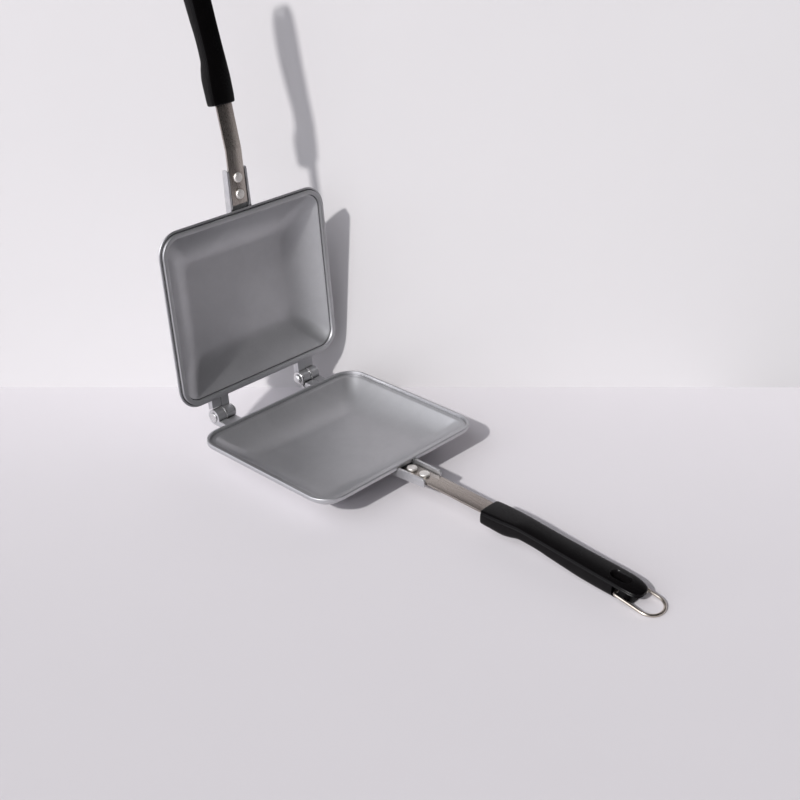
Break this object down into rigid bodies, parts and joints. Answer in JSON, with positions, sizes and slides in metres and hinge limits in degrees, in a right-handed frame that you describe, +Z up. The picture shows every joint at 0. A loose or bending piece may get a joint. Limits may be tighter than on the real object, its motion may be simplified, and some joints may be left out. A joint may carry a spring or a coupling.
{
  "type": "sandwich toaster iron",
  "caption": "Hinged sandwich toaster iron standing open: dished rectangular pans, riveted steel strips, dark slotted grips and a wire hanging ring.",
  "frame": {"origin": "centre of the flat pad under the lower pan, on the table", "axes": "+Z up, +X along the hinge, -Y towards the end of the lower handle"},
  "size_m": [0.146, 0.3986, 0.3382],
  "materials": {
    "lower_pan": "matt grey cast metal with a fine blasted grain",
    "upper_pan": "matt grey cast metal with a fine blasted grain",
    "lower_strip": "rolled steel strip with faint lengthwise scratches",
    "upper_strip": "rolled steel strip with faint lengthwise scratches",
    "lower_rivet_rear": "pale rivet head, lightly dented",
    "lower_rivet_front": "pale rivet head, lightly dented",
    "upper_rivet_rear": "pale rivet head, lightly dented",
    "upper_rivet_front": "pale rivet head, lightly dented",
    "lower_grip": "black moulded plastic, satin",
    "upper_grip": "black moulded plastic, satin",
    "hinge_pin_left": "pale domed pin",
    "hinge_pin_right": "pale domed pin",
    "hinge_washer_left": "pale flat washer",
    "hinge_washer_right": "pale flat washer",
    "wire_ring": "bright drawn wire"
  },
  "bodies": {
    "base": {"lower_pan": "lower_pan", "lower_strip": "lower_strip", "lower_rivet_rear": "lower_rivet_rear", "lower_rivet_front": "lower_rivet_front", "lower_grip": "lower_grip", "hinge_pin_left": "hinge_pin_left", "hinge_pin_right": "hinge_pin_right", "hinge_washer_left": "hinge_washer_left", "hinge_washer_right": "hinge_washer_right"},
    "lid": {"upper_pan": "upper_pan", "upper_strip": "upper_strip", "upper_rivet_rear": "upper_rivet_rear", "upper_rivet_front": "upper_rivet_front", "upper_grip": "upper_grip"},
    "ring": {"wire_ring": "wire_ring"}
  },
  "joints": [
    {"name": "lid_hinge", "type": "hinge", "parent": "base", "child": "lid", "pos_m": [0, 0.07427, 0.02225], "axis": [1, 0, 0], "range_deg": [0, 95.7]},
    {"name": "ring_hinge", "type": "hinge", "parent": "base", "child": "ring", "pos_m": [0, -0.23237, 0.00577], "axis": [1, 0, 0], "range_deg": [-150, 60]}
  ]
}
